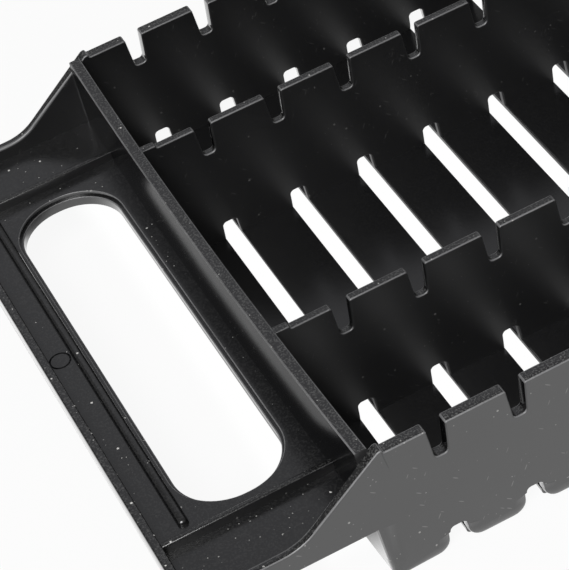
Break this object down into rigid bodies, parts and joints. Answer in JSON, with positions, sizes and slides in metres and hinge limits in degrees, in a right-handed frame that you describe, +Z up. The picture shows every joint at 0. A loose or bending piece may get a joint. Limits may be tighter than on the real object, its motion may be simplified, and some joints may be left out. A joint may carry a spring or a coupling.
{
  "type": "clipper guard storage tray",
  "caption": "Open black plastic tray with notched walls, a slotted floor and a carrying handle at each end, for standing clipper guard combs upright.",
  "frame": {"origin": "on the table under the middle of the tray", "axes": "+X along the rows towards the right handle, +Y towards the rear side wall, +Z up"},
  "size_m": [0.2478, 0.1416, 0.033],
  "materials": {
    "black_plastic": "satin"
  },
  "bodies": {
    "root": {"front_side_wall": "black_plastic", "rear_side_wall": "black_plastic", "front_row_wall": "black_plastic", "rear_row_wall": "black_plastic", "floor_plank_01": "black_plastic", "floor_plank_02": "black_plastic", "floor_plank_03": "black_plastic", "floor_plank_04": "black_plastic", "floor_plank_05": "black_plastic", "floor_plank_06": "black_plastic", "floor_plank_07": "black_plastic", "floor_plank_08": "black_plastic", "floor_plank_09": "black_plastic", "floor_plank_10": "black_plastic", "floor_plank_11": "black_plastic", "left_end_wall": "black_plastic", "left_handle_deck": "black_plastic", "left_handle_lip": "black_plastic", "left_grip_rib": "black_plastic", "left_front_deck_rib": "black_plastic", "left_rear_deck_rib": "black_plastic", "right_end_wall": "black_plastic", "right_handle_deck": "black_plastic", "right_handle_lip": "black_plastic", "right_grip_rib": "black_plastic", "right_front_deck_rib": "black_plastic", "right_rear_deck_rib": "black_plastic"}
  },
  "joints": []
}
